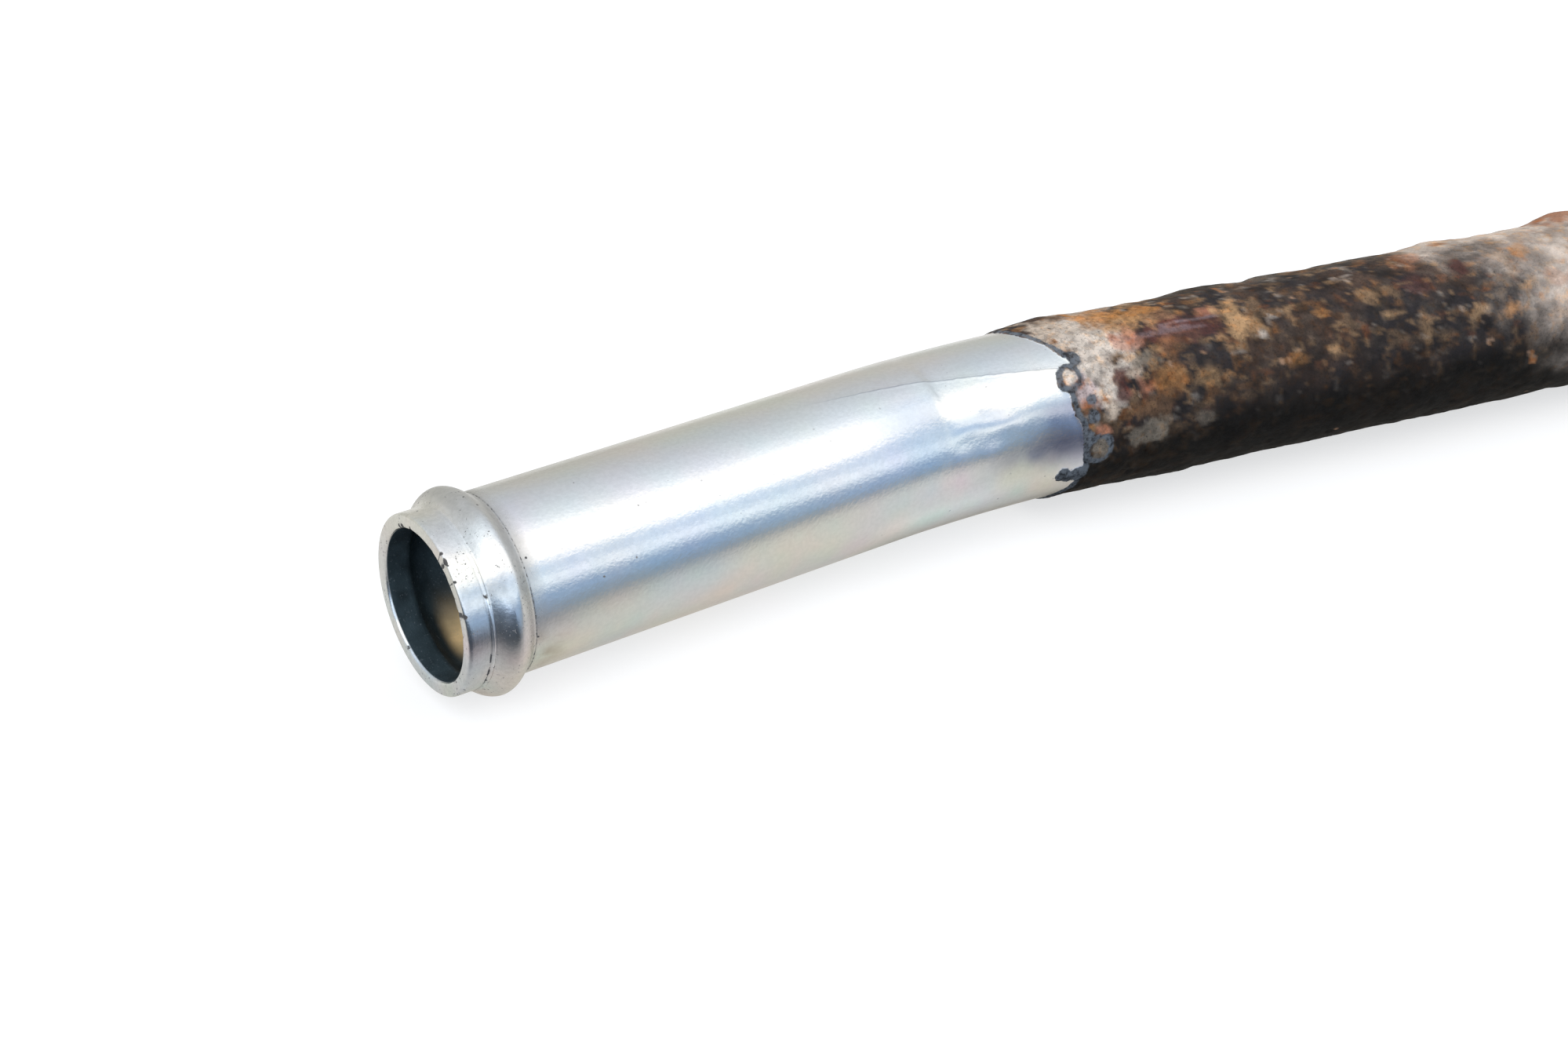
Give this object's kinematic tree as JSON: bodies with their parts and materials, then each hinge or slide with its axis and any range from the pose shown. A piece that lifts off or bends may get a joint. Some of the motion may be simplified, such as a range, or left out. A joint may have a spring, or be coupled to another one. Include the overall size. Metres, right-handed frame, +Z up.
{
  "type": "corroded hose pipe",
  "caption": "Steel pipe with a rolled hose bead at its mouth, a shallow bend, bright plating on the hose end and thick rust scale over the rest.",
  "frame": {"origin": "centre of the open mouth, on the tube's axis, in the plane of the end face", "axes": "+X along the first straight, away from the mouth; +Z up, square to the plane of the bend; the bend turns towards -Y"},
  "size_m": [0.2976, 0.0672, 0.0227],
  "materials": {
    "pipe": "satin zinc plating at the hose end, dark rust scale with ochre, orange and cream deposits beyond it"
  },
  "bodies": {
    "root": {"pipe": "pipe"}
  },
  "joints": []
}
